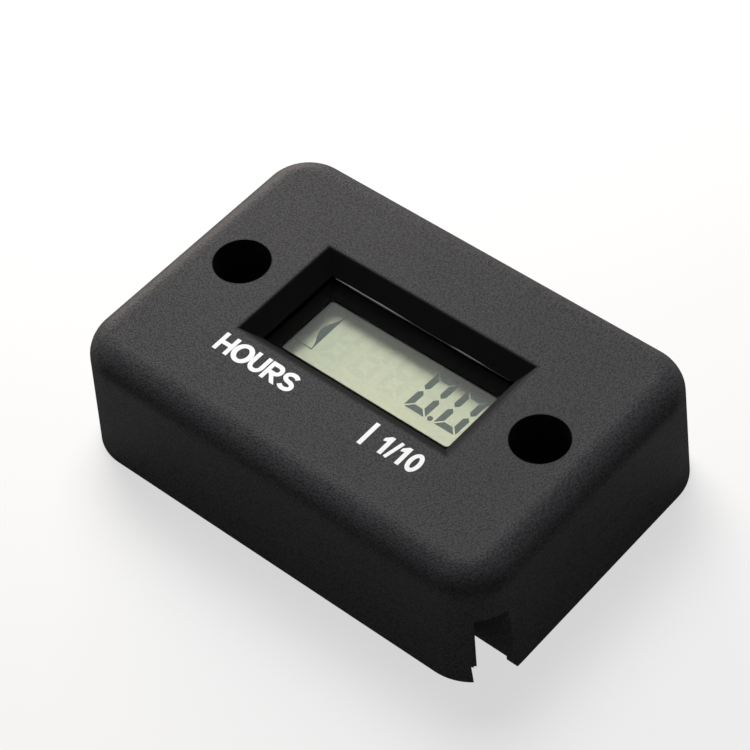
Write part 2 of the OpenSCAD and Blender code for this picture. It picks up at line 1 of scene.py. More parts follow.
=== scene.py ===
# Looks of a small engine hour meter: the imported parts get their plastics, glass, rubber and metals, and this
# script adds the printed legends, the display's bonded glass, the marks of the liquid crystal and a thin
# line of adhesive. The meter stands on z = 0 and is centred on the origin. Its display reads along +X and
# faces +Z.
import math

import bmesh
import bpy
from mathutils import Matrix, Vector


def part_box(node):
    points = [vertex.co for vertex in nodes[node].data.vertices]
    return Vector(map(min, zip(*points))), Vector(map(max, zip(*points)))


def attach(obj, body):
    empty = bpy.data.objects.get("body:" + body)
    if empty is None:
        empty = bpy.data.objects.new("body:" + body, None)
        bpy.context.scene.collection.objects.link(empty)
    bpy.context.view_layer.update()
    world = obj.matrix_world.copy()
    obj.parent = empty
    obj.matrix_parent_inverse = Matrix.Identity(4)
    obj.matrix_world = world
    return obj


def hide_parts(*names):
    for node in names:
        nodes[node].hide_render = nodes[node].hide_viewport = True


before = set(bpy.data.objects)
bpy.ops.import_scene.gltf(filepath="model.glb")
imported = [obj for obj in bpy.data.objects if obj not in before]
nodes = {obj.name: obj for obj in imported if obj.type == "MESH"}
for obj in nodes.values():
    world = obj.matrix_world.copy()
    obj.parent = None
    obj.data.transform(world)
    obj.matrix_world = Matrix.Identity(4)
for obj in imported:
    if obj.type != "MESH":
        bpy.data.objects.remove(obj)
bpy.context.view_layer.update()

MM = 0.001

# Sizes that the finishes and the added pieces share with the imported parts, in millimetres
FACE_MIDDLE_Y = 0.7
FACE_Z = 15.0
WELL_X = 19.2
WELL_RADIUS = 3.05
FUNNEL_HALF_X = 13.6
FUNNEL_HALF_Y = 7.1
WINDOW_LENGTH = 23.6
WINDOW_DEPTH = 10.6
PANE_TOP_Z = 12.9
DISPLAY_TOP_Z = 11.1
POLARISER_LOW_Z = 10.9
PLATES_Z = 10.2
REAR_GLASS_LOW_Z = 9.5

# Scale at which a wave texture repeats once in each unit
WAVE_SCALE = 2 * math.pi / 20

# Share of a normal along Z from which a face counts as level
LEVEL_FACE = 0.5


# Colour and nodes

def linear(hex_colour, alpha=1.0):
    """Turn an sRGB colour such as "#2b2c2e" into the linear values that a socket takes."""
    channels = [int(hex_colour[i:i + 2], 16) / 255 for i in (1, 3, 5)]
    return [c / 12.92 if c <= 0.04045 else ((c + 0.055) / 1.055) ** 2.4 for c in channels] + [alpha]


def per_metre(size_mm):
    """Scale of a pattern whose features are size_mm across."""
    return 1 / (size_mm * MM)


def add(tree, kind, settings=None, links=None):
    """Add one node, set its properties and inputs by name or number, and link inputs from other nodes."""
    node = tree.nodes.new(kind)
    for key, value in (settings or {}).items():
        if isinstance(key, str) and key not in node.inputs:
            setattr(node, key, value)
        else:
            node.inputs[key].default_value = value
    for key, source in (links or {}).items():
        output = source.outputs[0] if isinstance(source, bpy.types.Node) else source
        tree.links.new(output, node.inputs[key])
    return node


def new_material(name):
    """A material with an empty tree, and the tree."""
    material = bpy.data.materials.new(name)
    material.use_nodes = True
    material.node_tree.nodes.clear()
    return material, material.node_tree


# Plastics

def pebbled_abs():
    # Black ABS from a spark eroded mould: fine raised pebbles scatter the light, so that the skin looks a
    # soft charcoal. At a grazing view the pebbles hide one another, so the gloss has a limit and the rounded
    # edges stay dark. The pebbles' tops are painted paler and the pits between them darker, as painted light
    # and shade. The mould's cores leave the window's sink and the wells' floors smooth, and there the colour
    # is painted a dull deep black: painted shade in these recesses, on top of their smoother finish. The
    # wells' walls lie in the step between the two, and keep some of the pebbles and some of the painted shade.
    pebble_mm = 0.21
    grit_mm = 0.13
    grit_share = 0.5
    cloud_mm = 7.0
    pebble_height_mm = 0.036
    skin_starts_mm = -0.25
    skin_full_mm = 0.15
    sink_roughness = 0.6
    skin_roughness = 0.3
    gloss_limit = 0.022
    material, tree = new_material("pebbled_abs")
    spot = add(tree, "ShaderNodeTexCoord").outputs["Object"]
    pebbles = add(tree, "ShaderNodeTexVoronoi", {"Scale": per_metre(pebble_mm)}, {"Vector": spot})
    grit = add(tree, "ShaderNodeTexNoise", {"Scale": per_metre(grit_mm), "Detail": 2.0}, {"Vector": spot})
    clouds = add(tree, "ShaderNodeTexNoise", {"Scale": per_metre(cloud_mm), "Detail": 3.0}, {"Vector": spot})
    relief = add(tree, "ShaderNodeMath", {"operation": "MULTIPLY_ADD", 1: grit_share},
                 {0: grit, 2: pebbles.outputs["Distance"]})

    # Distance outside the sinks: the nearer of the two wells, and the window's rectangle
    centred = add(tree, "ShaderNodeVectorMath", {"operation": "SUBTRACT", 1: (0, FACE_MIDDLE_Y * MM, 0)},
                  {0: spot})
    folded = add(tree, "ShaderNodeVectorMath", {"operation": "ABSOLUTE"}, {0: centred})
    place = add(tree, "ShaderNodeSeparateXYZ", {}, {0: folded})
    flat = add(tree, "ShaderNodeCombineXYZ", {}, {"X": place.outputs["X"], "Y": place.outputs["Y"]})
    from_well = add(tree, "ShaderNodeVectorMath", {"operation": "DISTANCE", 1: (WELL_X * MM, 0, 0)},
                    {0: flat})
    past_well = add(tree, "ShaderNodeMath", {"operation": "SUBTRACT", 1: WELL_RADIUS * MM},
                    {0: from_well.outputs["Value"]})
    past_end = add(tree, "ShaderNodeMath", {"operation": "SUBTRACT", 1: FUNNEL_HALF_X * MM},
                   {0: place.outputs["X"]})
    past_side = add(tree, "ShaderNodeMath", {"operation": "SUBTRACT", 1: FUNNEL_HALF_Y * MM},
                    {0: place.outputs["Y"]})
    past_funnel = add(tree, "ShaderNodeMath", {"operation": "MAXIMUM"}, {0: past_end, 1: past_side})
    past_sinks = add(tree, "ShaderNodeMath", {"operation": "MINIMUM"}, {0: past_well, 1: past_funnel})
    skin = add(tree, "ShaderNodeMapRange", {"From Min": skin_starts_mm * MM, "From Max": skin_full_mm * MM},
               {"Value": past_sinks})

    bump = add(tree, "ShaderNodeBump", {"invert": True, "Distance": pebble_height_mm * MM},
               {"Height": relief, "Strength": skin})
    charcoal = add(tree, "ShaderNodeMix", {"data_type": "RGBA", 6: linear("#434345"), 7: linear("#49494c")},
                   {0: clouds})

    # Painted light and shade: the pebbles' tops are painted paler, and the pits between them darker
    painted_pebble_shade = add(tree, "ShaderNodeMapRange",
                {"From Min": 0.3, "From Max": 1.0, "To Min": 1.35, "To Max": 0.6}, {"Value": relief})
    painted_pebble_colour = add(tree, "ShaderNodeVectorMath", {"operation": "SCALE"},
                 {0: charcoal.outputs[2], "Scale": painted_pebble_shade})
    # Painted shade: inside the window's sink and the wells the colour is painted near black
    colour = add(tree, "ShaderNodeMix", {"data_type": "RGBA", 6: linear("#121213")}, {0: skin, 7: painted_pebble_colour})
    roughness = add(tree, "ShaderNodeMapRange", {"To Min": sink_roughness, "To Max": skin_roughness},
                    {"Value": skin})
    body = add(tree, "ShaderNodeBsdfPrincipled", {"Roughness": 0.5, "Specular IOR Level": 0.0},
               {"Base Color": colour.outputs[2], "Normal": bump})
    gloss = add(tree, "ShaderNodeBsdfGlossy", {}, {"Roughness": roughness, "Normal": bump})
    fresnel = add(tree, "ShaderNodeFresnel", {"IOR": 1.108}, {"Normal": bump})
    share = add(tree, "ShaderNodeMath", {"operation": "MINIMUM", 1: gloss_limit}, {0: fresnel})
    surface = add(tree, "ShaderNodeMixShader", {}, {0: share, 1: body, 2: gloss})
    add(tree, "ShaderNodeOutputMaterial", {}, {0: surface})
    return material


def satin_abs():
    # Black ABS moulded in a plain ground mould: a faint flow pattern under a soft satin.
    grain_mm = 0.2
    flow_mm = 5.0
    material, tree = new_material("satin_abs")
    spot = add(tree, "ShaderNodeTexCoord").outputs["Object"]
    grain = add(tree, "ShaderNodeTexNoise", {"Scale": per_metre(grain_mm), "Detail": 3.0}, {"Vector": spot})
    flow = add(tree, "ShaderNodeTexNoise", {"Scale": per_metre(flow_mm), "Distortion": 1.5},
               {"Vector": spot})
    bump = add(tree, "ShaderNodeBump", {"Strength": 0.6, "Distance": 0.006 * MM}, {"Height": grain})
    colour = add(tree, "ShaderNodeMix", {"data_type": "RGBA", 6: linear("#242426"), 7: linear("#2e2e31")},
                 {0: flow})
    roughness = add(tree, "ShaderNodeMapRange", {"To Min": 0.36, "To Max": 0.52}, {"Value": grain})
    shader = add(tree, "ShaderNodeBsdfPrincipled", {"IOR": 1.53, "Specular IOR Level": 0.3},
                 {"Base Color": colour.outputs[2], "Roughness": roughness, "Normal": bump})
    add(tree, "ShaderNodeOutputMaterial", {}, {0: shader})
    return material


def polished_abs():
    # Black ABS from a polished mould, seen through the pane: deep black with a soft faint shine, which a
    # slow sink in its surface bends.
    sink_mm = 3.0
    material, tree = new_material("polished_abs")
    spot = add(tree, "ShaderNodeTexCoord").outputs["Object"]
    sink = add(tree, "ShaderNodeTexNoise", {"Scale": per_metre(sink_mm), "Detail": 1.0}, {"Vector": spot})
    bump = add(tree, "ShaderNodeBump", {"Strength": 0.4, "Distance": 0.02 * MM}, {"Height": sink})
    colour = add(tree, "ShaderNodeMix", {"data_type": "RGBA", 6: linear("#050505"), 7: linear("#090909")},
                 {0: sink})
    shader = add(tree, "ShaderNodeBsdfPrincipled",
                 {"Roughness": 0.3, "IOR": 1.53, "Specular IOR Level": 0.02},
                 {"Base Color": colour.outputs[2], "Normal": bump})
    add(tree, "ShaderNodeOutputMaterial", {}, {0: shader})
    return material


# Window and display

def cast_acrylic():
    # Clear cast acrylic, polished: it is seen through, with a mirror that grows towards a grazing view. The
    # mirror is weaker than bare acrylic has, as on a coated instrument window.
    material, tree = new_material("cast_acrylic")
    through = add(tree, "ShaderNodeBsdfTransparent", {"Color": linear("#fbfdfb")})
    mirror = add(tree, "ShaderNodeBsdfGlossy", {"Roughness": 0.04})
    fresnel = add(tree, "ShaderNodeFresnel", {"IOR": 1.06})
    mix = add(tree, "ShaderNodeMixShader", {}, {0: fresnel, 1: through, 2: mirror})
    add(tree, "ShaderNodeOutputMaterial", {}, {0: mix})
    return material


def bonded_display_glass():
    # Two soda lime plates and a matt polariser, bonded with no air between: one clear block with a faint
    # green grey cast. The matt skin scatters a little light over the whole view, also where the film behind
    # lies in shade.
    haze_share = 0.12
    material, tree = new_material("bonded_display_glass")
    through = add(tree, "ShaderNodeBsdfTransparent", {"Color": linear("#f4f6ee")})
    mirror = add(tree, "ShaderNodeBsdfGlossy", {"Roughness": 0.12})
    fresnel = add(tree, "ShaderNodeFresnel", {"IOR": 1.04})
    mix = add(tree, "ShaderNodeMixShader", {}, {0: fresnel, 1: through, 2: mirror})
    haze = add(tree, "ShaderNodeBsdfDiffuse", {"Color": linear("#ffffff")})
    skin = add(tree, "ShaderNodeMixShader", {0: haze_share}, {1: mix, 2: haze})
    add(tree, "ShaderNodeOutputMaterial", {}, {0: skin})
    return material


def polariser_film():
    # Stretched polarising film on the front of the display: clear, with a faint grey cast.
    material, tree = new_material("polariser_film")
    through = add(tree, "ShaderNodeBsdfTransparent", {"Color": linear("#eef1e6")})
    add(tree, "ShaderNodeOutputMaterial", {}, {0: through})
    return material


def silvered_film():
    # Diffusing silvered film behind a twisted nematic cell: a pale grey green with a very fine mottle. Light
    # spreads inside it, so that shadows on it have soft edges.
    mottle_mm = 0.45
    light_spread_mm = 1.6
    material, tree = new_material("silvered_film")
    spot = add(tree, "ShaderNodeTexCoord").outputs["Object"]
    mottle = add(tree, "ShaderNodeTexNoise", {"Scale": per_metre(mottle_mm), "Detail": 4.0},
                 {"Vector": spot})
    contrast = add(tree, "ShaderNodeMapRange", {"From Min": 0.35, "From Max": 0.65}, {"Value": mottle})
    colour = add(tree, "ShaderNodeMix", {"data_type": "RGBA", 6: linear("#d5d7c2"), 7: linear("#dddec9")},
                 {0: contrast})
    shader = add(tree, "ShaderNodeBsdfPrincipled",
                 {"Roughness": 0.7, "IOR": 1.4, "Specular IOR Level": 0.1,
                  "subsurface_method": "BURLEY", "Subsurface Weight": 0.8,
                  "Subsurface Radius": (1, 1, 1), "Subsurface Scale": light_spread_mm * MM},
                 {"Base Color": colour.outputs[2]})
    add(tree, "ShaderNodeOutputMaterial", {}, {0: shader})
    return material


def dark_crystal():
    # Liquid crystal with the voltage on: it blocks the light, and reads as a dull green grey.
    mottle_mm = 0.4
    material, tree = new_material("dark_crystal")
    spot = add(tree, "ShaderNodeTexCoord").outputs["Object"]
    mottle = add(tree, "ShaderNodeTexNoise", {"Scale": per_metre(mottle_mm), "Detail": 3.0},
                 {"Vector": spot})
    colour = add(tree, "ShaderNodeMix", {"data_type": "RGBA", 6: linear("#3a4948"), 7: linear("#435351")},
                 {0: mottle})
    shader = add(tree, "ShaderNodeBsdfPrincipled", {"Roughness": 0.8, "IOR": 1.5, "Specular IOR Level": 0.1},
                 {"Base Color": colour.outputs[2]})
    add(tree, "ShaderNodeOutputMaterial", {}, {0: shader})
    return material


def clear_electrode():
    # Indium tin oxide electrode with no voltage on: a bluish tint that is only just there, half of it at the
    # front of the layer and half at its back.
    band_mm = 0.5
    material, tree = new_material("clear_electrode")
    spot = add(tree, "ShaderNodeTexCoord").outputs["Object"]
    bands = add(tree, "ShaderNodeTexNoise", {"Scale": per_metre(band_mm), "Detail": 2.0}, {"Vector": spot})
    tint = add(tree, "ShaderNodeMix", {"data_type": "RGBA", 6: linear("#fcfdfe"), 7: linear("#feffff")},
               {0: bands})
    through = add(tree, "ShaderNodeBsdfTransparent", {}, {"Color": tint.outputs[2]})
    add(tree, "ShaderNodeOutputMaterial", {}, {0: through})
    return material


def pad_ink():
    # White two part ink laid on with a silicone pad: matt, and a little thin where the pebbles' tops push it
    # away. It fills the finest pebbles, so that its own relief is coarser than the skin's.
    pebble_mm = 0.32
    material, tree = new_material("pad_ink")
    spot = add(tree, "ShaderNodeTexCoord").outputs["Object"]
    pebbles = add(tree, "ShaderNodeTexVoronoi", {"feature": "SMOOTH_F1", "Scale": per_metre(pebble_mm)},
                  {"Vector": spot})
    colour = add(tree, "ShaderNodeMix", {"data_type": "RGBA", 6: linear("#eef5f8"), 7: linear("#ffffff")},
                 {0: pebbles.outputs["Distance"]})
    bump = add(tree, "ShaderNodeBump", {"invert": True, "Strength": 0.5, "Distance": 0.01 * MM},
               {"Height": pebbles.outputs["Distance"]})
    shader = add(tree, "ShaderNodeBsdfPrincipled", {"Roughness": 0.5, "IOR": 1.5, "Specular IOR Level": 0.2},
                 {"Base Color": colour.outputs[2], "Normal": bump})
    add(tree, "ShaderNodeOutputMaterial", {}, {0: shader})
    return material


# Rubber, foam and resin

def moulded_rubber():
    # Black silicone rubber from a plain mould: dull, dark, with a slight bloom on its skin.
    bloom_mm = 1.6
    skin_mm = 0.15
    material, tree = new_material("moulded_rubber")
    spot = add(tree, "ShaderNodeTexCoord").outputs["Object"]
    bloom = add(tree, "ShaderNodeTexNoise", {"Scale": per_metre(bloom_mm), "Detail": 4.0}, {"Vector": spot})
    skin = add(tree, "ShaderNodeTexNoise", {"Scale": per_metre(skin_mm), "Detail": 2.0}, {"Vector": spot})
    bump = add(tree, "ShaderNodeBump", {"Strength": 0.5, "Distance": 0.01 * MM}, {"Height": skin})
    colour = add(tree, "ShaderNodeMix", {"data_type": "RGBA", 6: linear("#151516"), 7: linear("#252527")},
                 {0: bloom})
    shader = add(tree, "ShaderNodeBsdfPrincipled", {"Roughness": 0.75, "IOR": 1.43},
                 {"Base Color": colour.outputs[2], "Normal": bump})
    add(tree, "ShaderNodeOutputMaterial", {}, {0: shader})
    return material


def clear_adhesive():
    # Clear acrylic adhesive over black plastic: it takes the black from behind, and shines where it is
    # pressed out.
    squeeze_mm = 0.6
    material, tree = new_material("clear_adhesive")
    spot = add(tree, "ShaderNodeTexCoord").outputs["Object"]
    squeeze = add(tree, "ShaderNodeTexNoise", {"Scale": per_metre(squeeze_mm), "Detail": 2.0},
                  {"Vector": spot})
    bump = add(tree, "ShaderNodeBump", {"Strength": 0.6, "Distance": 0.03 * MM}, {"Height": squeeze})
    colour = add(tree, "ShaderNodeMix", {"data_type": "RGBA", 6: linear("#0b0b0b"), 7: linear("#141414")},
                 {0: squeeze})
    shader = add(tree, "ShaderNodeBsdfPrincipled", {"Roughness": 0.15, "IOR": 1.47},
                 {"Base Color": colour.outputs[2], "Normal": bump})
    add(tree, "ShaderNodeOutputMaterial", {}, {0: shader})
    return material


def layered_silicone():
    # Silicone rubber in thin slices, carbon filled and clear by turns: dark stripes across a dusty pink. The
    # real slices are about 0.1 mm, and are drawn three times as coarse so that they show.
    slice_mm = 0.3
    material, tree = new_material("layered_silicone")
    spot = add(tree, "ShaderNodeTexCoord").outputs["Object"]
    stripes = add(tree, "ShaderNodeTexWave",
                  {"bands_direction": "X", "Scale": per_metre(slice_mm) * WAVE_SCALE}, {"Vector": spot})
    edge = add(tree, "ShaderNodeMapRange", {"From Min": 0.4, "From Max": 0.6},
               {"Value": stripes.outputs["Fac"]})
    colour = add(tree, "ShaderNodeMix", {"data_type": "RGBA", 6: linear("#2a2526"), 7: linear("#b58f88")},
                 {0: edge})
    bump = add(tree, "ShaderNodeBump", {"Strength": 0.3, "Distance": 0.02 * MM},
               {"Height": stripes.outputs["Fac"]})
    shader = add(tree, "ShaderNodeBsdfPrincipled", {"Roughness": 0.6, "IOR": 1.43},
                 {"Base Color": colour.outputs[2], "Normal": bump})
    add(tree, "ShaderNodeOutputMaterial", {}, {0: shader})
    return material


def cast_epoxy():
    # Black epoxy dropped over a bonded chip and cured: a glossy dome with a slight orange peel.
    peel_mm = 0.8
    material, tree = new_material("cast_epoxy")
    spot = add(tree, "ShaderNodeTexCoord").outputs["Object"]
    peel = add(tree, "ShaderNodeTexNoise", {"Scale": per_metre(peel_mm), "Detail": 2.0}, {"Vector": spot})
    bump = add(tree, "ShaderNodeBump", {"Strength": 0.6, "Distance": 0.03 * MM}, {"Height": peel})
    colour = add(tree, "ShaderNodeMix", {"data_type": "RGBA", 6: linear("#0b0b0b"), 7: linear("#161615")},
                 {0: peel})
    shader = add(tree, "ShaderNodeBsdfPrincipled", {"Roughness": 0.18, "IOR": 1.55},
                 {"Base Color": colour.outputs[2], "Normal": bump})
    add(tree, "ShaderNodeOutputMaterial", {}, {0: shader})
    return material


def moulded_epoxy():
    # Black epoxy moulding compound of a diode: a dull even black, with matt tinned leads at its two ends.
    grain_mm = 0.1
    lead_mm = 1.05
    material, tree = new_material("moulded_epoxy")
    spot = add(tree, "ShaderNodeTexCoord").outputs["Object"]
    grain = add(tree, "ShaderNodeTexNoise", {"Scale": per_metre(grain_mm), "Detail": 2.0}, {"Vector": spot})
    bump = add(tree, "ShaderNodeBump", {"Strength": 0.5, "Distance": 0.01 * MM}, {"Height": grain})
    lead = add_end_mask(tree, spot, "input_diodes", lead_mm)
    body = add(tree, "ShaderNodeMix", {"data_type": "RGBA", 6: linear("#19191a"), 7: linear("#222223")},
               {0: grain})
    colour = add(tree, "ShaderNodeMix", {"data_type": "RGBA", 7: linear("#b9bbbd")},
                 {0: lead, 6: body.outputs[2]})
    shader = add(tree, "ShaderNodeBsdfPrincipled", {"Roughness": 0.45},
                 {"Base Color": colour.outputs[2], "Metallic": lead, "Normal": bump})
    add(tree, "ShaderNodeOutputMaterial", {}, {0: shader})
    return material


# Board and its parts

def add_end_mask(tree, spot, node, from_mm):
    """1 at the two ends along Y of the parts in a row, from from_mm off the row's middle line, else 0."""
    edge_mm = 0.03
    low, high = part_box(node)
    middle = (low[1] + high[1]) / 2
    place = add(tree, "ShaderNodeSeparateXYZ", {}, {0: spot})
    from_middle = add(tree, "ShaderNodeMath", {"operation": "SUBTRACT", 1: middle}, {0: place.outputs["Y"]})
    reach = add(tree, "ShaderNodeMath", {"operation": "ABSOLUTE"}, {0: from_middle})
    mask = add(tree, "ShaderNodeMapRange", {"From Min": from_mm * MM, "From Max": (from_mm + edge_mm) * MM},
               {"Value": reach})
    return mask.outputs[0]


def solder_mask_board():
    # Green solder mask over copper tracks on woven glass laminate: the tracks show as paler raised lines,
    # and the cut edge is bare straw coloured laminate.
    track_mm = 1.3
    weave_mm = 0.45
    material, tree = new_material("solder_mask_board")
    spot = add(tree, "ShaderNodeTexCoord").outputs["Object"]
    turned = add(tree, "ShaderNodeMapping", {"Rotation": (0, 0, math.radians(45))}, {"Vector": spot})

    # The texture's bricks are half a unit long, and the joints between them stand for the tracks
    tracks = add(tree, "ShaderNodeTexBrick",
                 {"Scale": per_metre(2 * track_mm), "Mortar Size": 0.09, "Mortar Smooth": 0.3, "Bias": 0.0,
                  "Color1": (0, 0, 0, 1), "Color2": (0, 0, 0, 1), "Mortar": (1, 1, 1, 1)},
                 {"Vector": turned})
    weave = add(tree, "ShaderNodeTexChecker", {"Scale": per_metre(weave_mm)}, {"Vector": spot})
    geometry = add(tree, "ShaderNodeNewGeometry")
    normal = add(tree, "ShaderNodeSeparateXYZ", {}, {0: geometry.outputs["Normal"]})
    upright = add(tree, "ShaderNodeMath", {"operation": "ABSOLUTE"}, {0: normal.outputs["Z"]})
    edge = add(tree, "ShaderNodeMath", {"operation": "LESS_THAN", 1: LEVEL_FACE}, {0: upright})
    mask = add(tree, "ShaderNodeMix", {"data_type": "RGBA", 6: linear("#14562b"), 7: linear("#2c8a49")},
               {0: tracks.outputs["Fac"]})
    laminate = add(tree, "ShaderNodeMix", {"data_type": "RGBA", 6: linear("#a79b6c"), 7: linear("#8f8558")},
                   {0: weave.outputs["Fac"]})
    colour = add(tree, "ShaderNodeMix", {"data_type": "RGBA"},
                 {0: edge, 6: mask.outputs[2], 7: laminate.outputs[2]})
    bump = add(tree, "ShaderNodeBump", {"Strength": 0.5, "Distance": 0.03 * MM},
               {"Height": tracks.outputs["Fac"]})
    shader = add(tree, "ShaderNodeBsdfPrincipled", {"Roughness": 0.32, "IOR": 1.52},
                 {"Base Color": colour.outputs[2], "Normal": bump})
    add(tree, "ShaderNodeOutputMaterial", {}, {0: shader})
    return material


def fired_ceramic():
    # Sintered ceramic of a chip capacitor: tan and matt, with bright tinned caps at its two ends.
    grain_mm = 0.12
    cap_mm = 0.62
    material, tree = new_material("fired_ceramic")
    spot = add(tree, "ShaderNodeTexCoord").outputs["Object"]
    grain = add(tree, "ShaderNodeTexNoise", {"Scale": per_metre(grain_mm), "Detail": 3.0}, {"Vector": spot})
    cap = add_end_mask(tree, spot, "ceramic_capacitors", cap_mm)
    body = add(tree, "ShaderNodeMix", {"data_type": "RGBA", 6: linear("#a98a5e"), 7: linear("#bb9c70")},
               {0: grain})
    colour = add(tree, "ShaderNodeMix", {"data_type": "RGBA", 7: linear("#c4c6c8")},
                 {0: cap, 6: body.outputs[2]})
    bump = add(tree, "ShaderNodeBump", {"Strength": 0.4, "Distance": 0.01 * MM}, {"Height": grain})
    shader = add(tree, "ShaderNodeBsdfPrincipled", {"Roughness": 0.5},
                 {"Base Color": colour.outputs[2], "Metallic": cap, "Normal": bump})
    add(tree, "ShaderNodeOutputMaterial", {}, {0: shader})
    return material


def glazed_resistor():
    # Chip resistor: a black glass glaze over white alumina, with tinned ends.
    glaze_mm = 0.3
    cap_mm = 0.5
    material, tree = new_material("glazed_resistor")
    spot = add(tree, "ShaderNodeTexCoord").outputs["Object"]
    glaze = add(tree, "ShaderNodeTexNoise", {"Scale": per_metre(glaze_mm), "Detail": 2.0}, {"Vector": spot})
    cap = add_end_mask(tree, spot, "chip_resistors", cap_mm)
    geometry = add(tree, "ShaderNodeNewGeometry")
    normal = add(tree, "ShaderNodeSeparateXYZ", {}, {0: geometry.outputs["Normal"]})
    top = add(tree, "ShaderNodeMath", {"operation": "GREATER_THAN", 1: LEVEL_FACE}, {0: normal.outputs["Z"]})
    black = add(tree, "ShaderNodeMix", {"data_type": "RGBA", 6: linear("#1c1e21"), 7: linear("#282b2f")},
                {0: glaze})
    body = add(tree, "ShaderNodeMix", {"data_type": "RGBA", 6: linear("#dcdad2")},
               {0: top, 7: black.outputs[2]})
    colour = add(tree, "ShaderNodeMix", {"data_type": "RGBA", 7: linear("#c4c6c8")},
                 {0: cap, 6: body.outputs[2]})
    shader = add(tree, "ShaderNodeBsdfPrincipled", {"Roughness": 0.35},
                 {"Base Color": colour.outputs[2], "Metallic": cap})
    add(tree, "ShaderNodeOutputMaterial", {}, {0: shader})
    return material


# Metals

def drawn_aluminium():
    # Can capacitor: a deep drawn aluminium can with faint draw lines, over a black moulded base.
    line_mm = 0.12
    line_squash = 0.05
    base_top_mm = 7.7
    material, tree = new_material("drawn_aluminium")
    spot = add(tree, "ShaderNodeTexCoord").outputs["Object"]
    stretched = add(tree, "ShaderNodeMapping", {"Scale": (1, 1, line_squash)}, {"Vector": spot})
    lines = add(tree, "ShaderNodeTexNoise", {"Scale": per_metre(line_mm), "Detail": 2.0},
                {"Vector": stretched})
    place = add(tree, "ShaderNodeSeparateXYZ", {}, {0: spot})
    can = add(tree, "ShaderNodeMath", {"operation": "GREATER_THAN", 1: base_top_mm * MM},
              {0: place.outputs["Z"]})
    metal = add(tree, "ShaderNodeMix", {"data_type": "RGBA", 6: linear("#c3c6ca"), 7: linear("#d4d6d9")},
                {0: lines})
    colour = add(tree, "ShaderNodeMix", {"data_type": "RGBA", 6: linear("#1a1a1b")},
                 {0: can, 7: metal.outputs[2]})
    bump = add(tree, "ShaderNodeBump", {"Strength": 0.3, "Distance": 0.01 * MM}, {"Height": lines})
    shader = add(tree, "ShaderNodeBsdfPrincipled", {"Roughness": 0.3},
                 {"Base Color": colour.outputs[2], "Metallic": can, "Normal": bump})
    add(tree, "ShaderNodeOutputMaterial", {}, {0: shader})
    return material


def nickel_plated_steel(name, low_hex, high_hex, low_rough, high_rough):
    # Steel with a bright nickel skin, rolled before it was stamped: fine lines along the strip, light marks
    # from handling, and a warm white.
    line_mm = 0.1
    line_squash = 0.06
    mark_mm = 2.5
    material, tree = new_material(name)
    spot = add(tree, "ShaderNodeTexCoord").outputs["Object"]
    stretched = add(tree, "ShaderNodeMapping", {"Scale": (line_squash, 1, 1)}, {"Vector": spot})
    lines = add(tree, "ShaderNodeTexNoise", {"Scale": per_metre(line_mm), "Detail": 3.0},
                {"Vector": stretched})
    marks = add(tree, "ShaderNodeTexNoise", {"Scale": per_metre(mark_mm), "Detail": 4.0}, {"Vector": spot})
    colour = add(tree, "ShaderNodeMix", {"data_type": "RGBA", 6: linear(low_hex), 7: linear(high_hex)},
                 {0: marks})
    roughness = add(tree, "ShaderNodeMapRange", {"To Min": low_rough, "To Max": high_rough},
                    {"Value": lines})
    bump = add(tree, "ShaderNodeBump", {"Strength": 0.25, "Distance": 0.006 * MM}, {"Height": lines})
    shader = add(tree, "ShaderNodeBsdfPrincipled", {"Metallic": 1.0},
                 {"Base Color": colour.outputs[2], "Roughness": roughness, "Normal": bump})
    add(tree, "ShaderNodeOutputMaterial", {}, {0: shader})
    return material


def zinc_plated_steel():
    # Steel screw, cold formed and zinc plated: a cool grey with a blue passivation and a slightly uneven
    # shine.
    patch_mm = 0.6
    turn_mm = 0.1
    material, tree = new_material("zinc_plated_steel")
    spot = add(tree, "ShaderNodeTexCoord").outputs["Object"]
    patches = add(tree, "ShaderNodeTexNoise", {"Scale": per_metre(patch_mm), "Detail": 3.0},
                  {"Vector": spot})
    turning = add(tree, "ShaderNodeTexNoise", {"Scale": per_metre(turn_mm), "Detail": 2.0}, {"Vector": spot})
    colour = add(tree, "ShaderNodeMix", {"data_type": "RGBA", 6: linear("#a9b0b8"), 7: linear("#c8ccd2")},
                 {0: patches})
    roughness = add(tree, "ShaderNodeMapRange", {"To Min": 0.28, "To Max": 0.44}, {"Value": patches})
    bump = add(tree, "ShaderNodeBump", {"Strength": 0.3, "Distance": 0.006 * MM}, {"Height": turning})
    shader = add(tree, "ShaderNodeBsdfPrincipled", {"Metallic": 1.0},
                 {"Base Color": colour.outputs[2], "Roughness": roughness, "Normal": bump})
    add(tree, "ShaderNodeOutputMaterial", {}, {0: shader})
    return material


def turned_brass():
    # Brass pin turned on a lathe: yellow metal with fine rings from the tool.
    ring_mm = 0.1
    material, tree = new_material("turned_brass")
    spot = add(tree, "ShaderNodeTexCoord").outputs["Object"]
    rings = add(tree, "ShaderNodeTexWave",
                {"bands_direction": "Z", "Scale": per_metre(ring_mm) * WAVE_SCALE, "Distortion": 0.6},
                {"Vector": spot})
    colour = add(tree, "ShaderNodeMix", {"data_type": "RGBA", 6: linear("#c19a45"), 7: linear("#d9b765")},
                 {0: rings.outputs["Fac"]})
    bump = add(tree, "ShaderNodeBump", {"Strength": 0.3, "Distance": 0.01 * MM},
               {"Height": rings.outputs["Fac"]})
    shader = add(tree, "ShaderNodeBsdfPrincipled", {"Metallic": 1.0, "Roughness": 0.3},
                 {"Base Color": colour.outputs[2], "Normal": bump})
    add(tree, "ShaderNodeOutputMaterial", {}, {0: shader})
    return material


# Outlines and meshes, in millimetres

def rectangle(left, low, right, high):
    return [(left, low), (right, low), (right, high), (left, high)]


def oval(middle_x, middle_y, half_x, half_y, start, end, steps):
    """Points along an oval from one angle to another, in degrees."""
    angles = [math.radians(start + (end - start) * i / steps) for i in range(steps + 1)]
    return [(middle_x + half_x * math.cos(a), middle_y + half_y * math.sin(a)) for a in angles]


